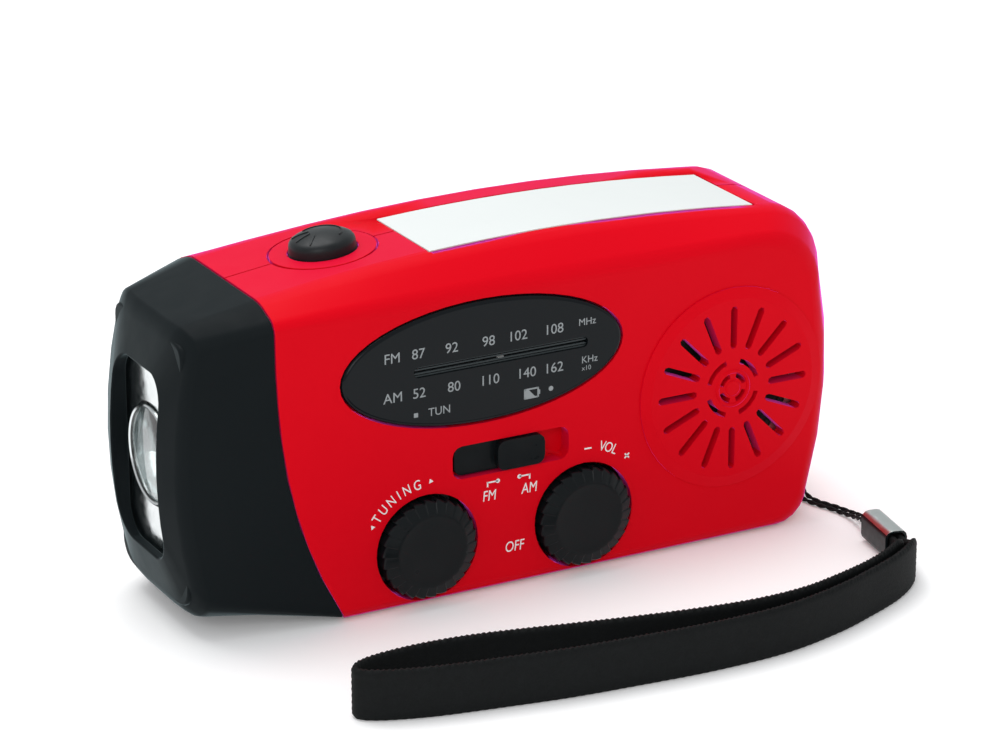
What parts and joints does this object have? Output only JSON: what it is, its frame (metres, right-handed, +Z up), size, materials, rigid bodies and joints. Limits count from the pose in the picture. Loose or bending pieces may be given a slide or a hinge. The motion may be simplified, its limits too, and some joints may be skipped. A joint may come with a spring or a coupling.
{
  "type": "portable radio",
  "caption": "Hand-cranked portable radio with a torch in its nose, an oval dial, ridged knobs, a round speaker grille, a solar panel on top and a wrist strap.",
  "frame": {"origin": "middle of the radio's footprint, on the surface that it stands on", "axes": "+Z up, the dial faces -Y, the torch points along -X, the crank is on the +Y side"},
  "size_m": [0.1315, 0.0913, 0.0636],
  "materials": {
    "red_shell": "satin",
    "black_shell": "satin",
    "black_rubber": "matt",
    "gloss_black": "polished",
    "silver_plastic": "mirror",
    "clear_plastic": "clear",
    "led_epoxy": "clear",
    "solar_cover": "gloss",
    "solar_cells": "gloss",
    "board": "satin",
    "grey_plastic": "matt",
    "pale_plastic": "satin",
    "steel": "satin",
    "nickel": "polished",
    "magnet": "matt",
    "paper": "matt",
    "copper": "satin",
    "cell_wrap": "satin",
    "black_nylon": "woven"
  },
  "bodies": {
    "case": {"front_shell": "red_shell", "rear_shell": "red_shell", "button_bezel": "red_shell", "nose_cap": "black_shell", "dial_lens": "gloss_black", "reflector": "silver_plastic", "torch_lens": "clear_plastic", "led_1": "led_epoxy", "led_2": "led_epoxy", "led_3": "led_epoxy", "solar_cover": "solar_cover", "solar_cells": "solar_cells", "led_board": "board", "switch_board": "board", "main_board": "board", "dial_scale": "grey_plastic", "volume_pot": "grey_plastic", "tuning_capacitor": "grey_plastic", "gearbox_cover": "grey_plastic", "gearbox_plate": "grey_plastic", "torch_switch": "grey_plastic", "case_screw_1": "steel", "case_screw_2": "steel", "case_screw_3": "steel", "case_screw_4": "steel", "compound_axle": "steel", "speaker_frame": "nickel", "band_switch": "nickel", "dynamo_body": "nickel", "usb_socket": "nickel", "charge_socket": "nickel", "strap_ferrule": "nickel", "speaker_magnet": "magnet", "ferrite_rod": "magnet", "speaker_cone": "paper", "aerial_coil": "copper", "battery_cell_1": "cell_wrap", "battery_cell_2": "cell_wrap", "strap_webbing": "black_nylon", "strap_cord_1": "black_nylon", "strap_cord_2": "black_nylon", "dial_cord": "black_nylon"},
    "torch_button": {"torch_button": "black_rubber", "torch_switch_plunger": "grey_plastic"},
    "pointer": {"dial_pointer": "pale_plastic"},
    "tuning": {"tuning_knob": "black_shell", "tuning_drum": "pale_plastic"},
    "volume": {"volume_knob": "black_shell", "volume_shaft": "pale_plastic"},
    "band_slider": {"band_slider": "black_shell"},
    "crank": {"crank_shaft": "steel", "crank_gear": "pale_plastic", "crank_arm": "black_shell", "crank_screw": "steel", "fold_pin": "steel"},
    "grip_fold": {"grip_knuckle": "steel"},
    "grip": {"crank_grip": "red_shell"},
    "compound": {"compound_gear": "pale_plastic"},
    "rotor": {"dynamo_rotor": "steel"},
    "flap": {"socket_flap": "black_rubber"}
  },
  "joints": [
    {"name": "torch_press", "type": "slide", "parent": "case", "child": "torch_button", "axis": [0.0959, 0, -0.9954], "range_m": [0, 0.0012], "stiffness_N_per_m": 400, "springref_m": -0.0005},
    {"name": "tuning_turn", "type": "hinge", "parent": "case", "child": "tuning", "pos_m": [-0.0191, -0.02115, 0.0108], "axis": [0, 1, 0], "range_deg": [-134, 134]},
    {"name": "pointer_slide", "type": "slide", "parent": "case", "child": "pointer", "axis": [1, 0, 0], "range_m": [-0.0146, 0.0146]},
    {"name": "volume_turn", "type": "hinge", "parent": "case", "child": "volume", "pos_m": [0.0114, -0.02115, 0.0108], "axis": [0, 1, 0], "range_deg": [0, 300]},
    {"name": "band_slide", "type": "slide", "parent": "case", "child": "band_slider", "axis": [1, 0, 0], "range_m": [0, 0.0042]},
    {"name": "crank_spin", "type": "hinge", "parent": "case", "child": "crank", "pos_m": [0.028, 0.01805, 0.031], "axis": [0, 1, 0], "continuous": true},
    {"name": "grip_unfold", "type": "hinge", "parent": "crank", "child": "grip_fold", "pos_m": [-0.014, 0.0209, 0.031], "axis": [0, 0, 1], "range_deg": [0, 90]},
    {"name": "grip_spin", "type": "hinge", "parent": "grip_fold", "child": "grip", "pos_m": [-0.014, 0.0209, 0.031], "axis": [1, 0, 0], "continuous": true},
    {"name": "compound_spin", "type": "hinge", "parent": "case", "child": "compound", "pos_m": [0.01372, 0.01, 0.0362], "axis": [0, 1, 0], "continuous": true},
    {"name": "rotor_spin", "type": "hinge", "parent": "case", "child": "rotor", "pos_m": [0.00145, 0.01, 0.03949], "axis": [0, 1, 0], "continuous": true},
    {"name": "flap_open", "type": "hinge", "parent": "case", "child": "flap", "pos_m": [0.0637, 0.00855, 0.031], "axis": [0, 0, 1], "range_deg": [0, 110]}
  ],
  "couplings": [
    {"joint": "pointer_slide", "follows": "tuning_turn", "m_per_rad": 0.0062},
    {"joint": "compound_spin", "follows": "crank_spin", "ratio": -4},
    {"joint": "rotor_spin", "follows": "crank_spin", "ratio": 16}
  ]
}
